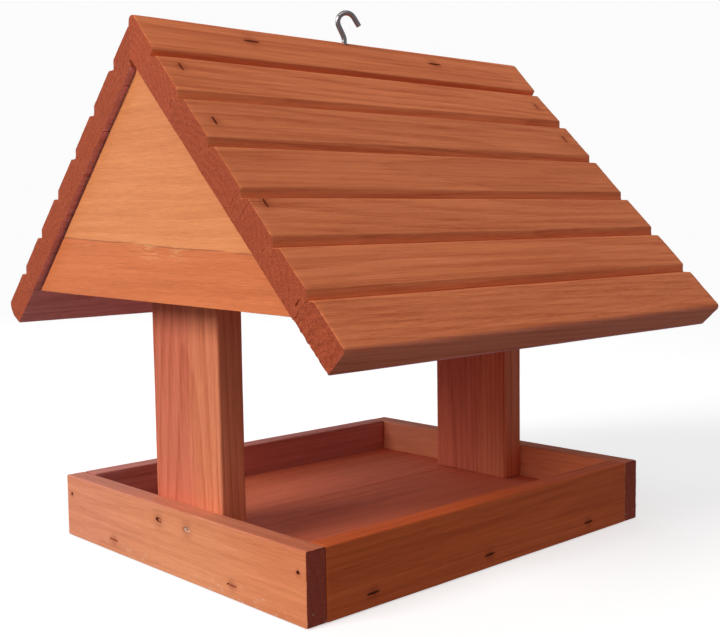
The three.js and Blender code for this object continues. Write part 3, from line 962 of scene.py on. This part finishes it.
def make_fasteners(nodes):
    """Makes each fastener, and returns what each board needs: its cutters, its stains and the
    places along X, Y and Z where its mesh is closer."""
    needs = {}
    for number, node in enumerate(nodes):
        outward, along, board, reach = fastener_facts(node)
        origin, axes = placed(node, outward, along)
        length = length_of(node, outward)
        if "staple" in node:
            crown = crown_of(node, along)
            shape = staple_shape(crown, length)
            hidden = "tray_end" in board  # under a coat of stain
            material = STAINED_STEEL if hidden else FASTENER_STEEL
            levels = [(z, crown / 2 + more, width) for z, more, width in STAPLE_POCKET]
        elif "nail" in node:
            shape, material = nail_shape(length), FASTENER_STEEL
            levels = NAIL_POCKET
        else:
            buried = node.startswith("post_screw")  # torn fibres half cover the sunk heads
            stained = buried and node.endswith("1")
            # All screws but the post screws ending in 1 get the pale steel whose colour paints a
            # glint.
            shape, material = screw_shape(length), FASTENER_STEEL if stained else ZINC_AND_GLINT_STEEL
            levels = BURIED_POCKET if buried else SCREW_POCKET
        add_fastener(node, shape, origin, axes, material)
        need = needs.setdefault(board, {"cutters": [], "stains": [], "spots": []})
        outline = {"power": 0.9, "torn": 0.25} if node.startswith("post_screw") else {}
        need["cutters"].append(pocket(levels, origin, axes, SEED + number, **outline))
        need["stains"].append((origin, reach))
        need["spots"].append(origin)
    return needs


# ---------------------------------------------------------------- hook

HOOK_TURN = math.radians(-25)
HOOK_WIRE = 1.7
HOOK_LOOP = {"radius": 6, "offset": 1.8, "height": 13.55}
HOOK_THREAD = {"length": 20, "outer": 2.0, "root": 1.45, "pitch": 1.6, "collar": 1.0}
HOOK_TIP = ((0.16, 0.14), (0.22, 0.42))  # its eased rim, as (further along, less radius)
HOOK_STAIN = 3.2


def centripetal(points, per_span):
    """A smooth curve through the points (a centripetal Catmull-Rom spline)."""
    points = [2 * points[0] - points[1], *points, 2 * points[-1] - points[-2]]
    curve = []
    for p in zip(points, points[1:], points[2:], points[3:]):
        t = [0.0]
        for a, b in zip(p, p[1:]):
            t.append(t[-1] + math.sqrt(np.linalg.norm(b - a)))
        for at in np.linspace(t[1], t[2], per_span, endpoint=False):
            def blend(a, b, start, end):
                return a * (end - at) / (end - start) + b * (at - start) / (end - start)
            one = [blend(p[i], p[i + 1], t[i], t[i + 1]) for i in range(3)]
            two = [blend(one[i], one[i + 1], t[i], t[i + 2]) for i in range(2)]
            curve.append(blend(two[0], two[1], t[1], t[2]))
    curve.append(points[-2])
    return np.array(curve)


def hook_path():
    """The wire's centre line above the ridge, as distances along the hook's plane and up."""
    radius, offset, height = HOOK_LOOP["radius"], HOOK_LOOP["offset"], HOOK_LOOP["height"]
    points = [(0, -3), (0, 0), (0, 2.4), (-0.65, 4.8), (-2, 7.5)]
    for degrees in range(205, 34, -17):
        a = math.radians(degrees)
        points.append((offset + radius * math.cos(a), height + radius * math.sin(a)))
    points += [(7.9, 15.2), (10.35, 11.3)]
    return centripetal([np.array(p, float) for p in points], 9)


def make_hook(around=36):
    """One bent wire, from the point of its thread to its cut tip."""
    thread = HOOK_THREAD
    pin = np.array(frame["joints"][0]["pos_m"]) / MM
    angles = np.arange(around) * 2 * math.pi / around
    shank = np.array([(0.0, z) for z in np.arange(-thread["length"], -3, 0.14)])
    path = np.vstack([shank, hook_path()])
    tip = path[-1] - path[-2]
    tip /= np.linalg.norm(tip)
    path = np.vstack([path, *(path[-1] + tip * further for further, _ in HOOK_TIP)])
    along = np.gradient(path, axis=0)
    along /= np.linalg.norm(along, axis=1)[:, None]
    travelled = np.concatenate([[0], np.cumsum(np.linalg.norm(np.diff(path, axis=0), axis=1))])
    rings, marks = [], []
    for i, ((u, v), (du, dv)) in enumerate(zip(path, along)):
        radius = np.full(around, HOOK_WIRE)
        if v < thread["collar"] and i < len(path) / 2:
            phase = (v / thread["pitch"] - angles / (2 * math.pi)) % 1
            crest = np.clip(1 - np.abs(phase - 0.5) / 0.3, 0, 1)
            cut = thread["root"] + (thread["outer"] - thread["root"]) * crest
            point = min(1.0, 0.12 + (v + thread["length"]) / 3.2)
            fade = np.clip((-1.5 - v) / 1.2, 0, 1)
            radius = (cut * fade + HOOK_WIRE * (1 - fade)) * point
        if i >= len(path) - len(HOOK_TIP):
            radius = radius - HOOK_TIP[i - len(path)][1]
        c, s = np.cos(angles), np.sin(angles)
        side, out = c * radius, s * radius
        rings.append(np.stack([u - dv * side, out, v + du * side], axis=1))
        marks.append(np.stack([np.full(around, travelled[i]), c * HOOK_WIRE, s * HOOK_WIRE], axis=1))
    local = np.vstack(rings)
    c, s = math.cos(HOOK_TURN), math.sin(HOOK_TURN)
    turned_points = local @ np.array([[c, s, 0], [-s, c, 0], [0, 0, 1]]) + pin
    faces = [face[::-1] for face in tube_faces(len(path), around)]
    piece = new_piece("screw_hook", turned_points, faces, HOOK_STEEL, "hook")
    store(piece.data, "wire", "FLOAT_VECTOR", "POINT", "vector", np.vstack(marks))
    shade(piece, 40)
    bore = thread["outer"] + 0.25
    neck = HOOK_WIRE + 0.12
    sizes = ((-thread["length"] - 0.6, bore), (-2.2, bore), (-1.6, neck), (5, neck))
    levels = [(z, radius, radius) for z, radius in sizes]
    return pocket(levels, pin, np.eye(3), SEED, 24), pin


# ---------------------------------------------------------------- assembly

nodes = sorted(frame["nodes"])
board_nodes = [n for n in nodes if not any(w in n for w in ("staple", "screw", "nail"))]
fastener_nodes = [n for n in nodes if n not in board_nodes and n != "screw_hook"]

needs = make_fasteners(fastener_nodes)
bore, hook_foot = make_hook()
need = needs.setdefault("roof_front_board_1", {"cutters": [], "stains": [], "spots": []})
need["cutters"].append(bore)
need["spots"].append(hook_foot)
need["stains"].append((hook_foot, HOOK_STAIN))

for number, node in enumerate(board_nodes):
    need = needs.get(node, {"cutters": [], "stains": [], "spots": []})
    run = KINDS[kind_of(node)][0]
    hot = sorted({round(float(spot[run]), 1) for spot in need["spots"]})
    piece, corners, others = make_board(node, number, hot)
    if need["cutters"]:
        carve(piece, need["cutters"])
    finish_board(piece, node, number, corners, others, need["stains"])


# ---------------------------------------------------------------- floor, light and camera

GLOW = 0.97  # the studio's white, which the floor fades into away from the object


def stage_material(name, near_glow=GLOW, near_paint=0.0, radii=(0.5, 2.2)):
    """White that glows by itself. Round the middle of the floor it glows less and takes light
    and shadow like paint."""
    g = Graph(name)
    x, y, _ = g.axes(g.place())
    away = g.math("SQRT", g.add(g.times(x, x), g.times(y, y)))
    glow = g.between(away, *radii, near_glow, GLOW)
    paint = g.between(away, *radii, near_paint, 0.0)
    g.surface(Base_Color=paint, Emission_Color=glow)
    g.shader.inputs["Roughness"].default_value = 0.9
    g.shader.inputs["Specular IOR Level"].default_value = 0
    g.shader.inputs["Emission Strength"].default_value = 1
    return g.material


def add_stage(name, points, faces, material):
    mesh = bpy.data.meshes.new(name)
    mesh.from_pydata(points, [], faces)
    mesh.materials.append(material)
    piece = bpy.data.objects.new(name, mesh)
    bpy.context.scene.collection.objects.link(piece)
    return piece


ROOM = 9.0  # metres
FLOOR_LEVEL = -0.0006
floor = add_stage(
    "floor",
    [(x * ROOM, y * ROOM, FLOOR_LEVEL) for x, y in ((-1, -1), (1, -1), (1, 1), (-1, 1))],
    [(0, 1, 2, 3)],
    stage_material("floor_paint", 0.58, 0.62),
)
floor.visible_diffuse = False
floor.visible_glossy = False

dome_profile = [(ROOM * math.cos(a), ROOM * math.sin(a)) for a in np.linspace(-0.05, 1.5, 14)]
dome_points, dome_faces = turned(dome_profile, 48)
dome = add_stage("backdrop", dome_points.tolist(), dome_faces, stage_material("backdrop_paint"))
dome.visible_diffuse = False
dome.visible_shadow = False
dome.visible_glossy = False

world = bpy.data.worlds.new("studio")
world.use_nodes = True
world.node_tree.nodes["Background"].inputs["Color"].default_value = (0.93, 0.96, 1.0, 1)
world.node_tree.nodes["Background"].inputs["Strength"].default_value = 0.23
bpy.context.scene.world = world


def add_light(name, place, target, size, power, colour):
    light = bpy.data.lights.new(name, "AREA")
    light.shape = "DISK"
    light.size = size
    light.energy = power
    light.color = colour
    lamp = bpy.data.objects.new(name, light)
    bpy.context.scene.collection.objects.link(lamp)
    lamp.location = place
    way = Vector(target) - Vector(place)
    lamp.rotation_euler = way.to_track_quat("-Z", "Y").to_euler()
    lamp.visible_camera = False


MIDDLE = (0, 0, 0.16)
TRAY = (0, 0, 0.05)
WARM = (1.0, 0.985, 0.96)
LIGHTS = [  # name, place, target, size, power and colour
    ("key", (-6.28, 0.66, 3.88), MIDDLE, 4.2, 417, WARM),
    ("roof_fill", (-1.2, -2.2, 3.3), MIDDLE, 2.0, 27.5, WARM),
    ("front_fill", (0.6, -2.4, 1.1), MIDDLE, 1.8, 1.2, (0.95, 0.97, 1.0)),
    ("low_fill", (-0.7, 2.3, 0.95), TRAY, 1.2, 14, (0.88, 0.94, 1.0)),
    ("back_fill", (0.8, 2.2, 1.4), MIDDLE, 1.6, 5, (0.97, 0.98, 1.0)),
]
for light in LIGHTS:
    add_light(*light)

CAMERA_PLACE = (-0.5014, -0.5491, 0.2083)
CAMERA_HEADING, CAMERA_DIP, CAMERA_ROLL = -42.776, 4.996, -0.854  # degrees
camera = bpy.data.objects.new("camera", bpy.data.cameras.new("camera"))
camera.data.sensor_width = 36
camera.data.lens = 55
bpy.context.scene.collection.objects.link(camera)
camera.matrix_world = (
    Matrix.Translation(Vector(CAMERA_PLACE))
    @ Matrix.Rotation(math.radians(CAMERA_HEADING), 4, "Z")
    @ Matrix.Rotation(math.radians(90 - CAMERA_DIP), 4, "X")
    @ Matrix.Rotation(math.radians(CAMERA_ROLL), 4, "Z")
)
bpy.context.scene.camera = camera
bpy.context.scene.view_settings.view_transform = "Standard"
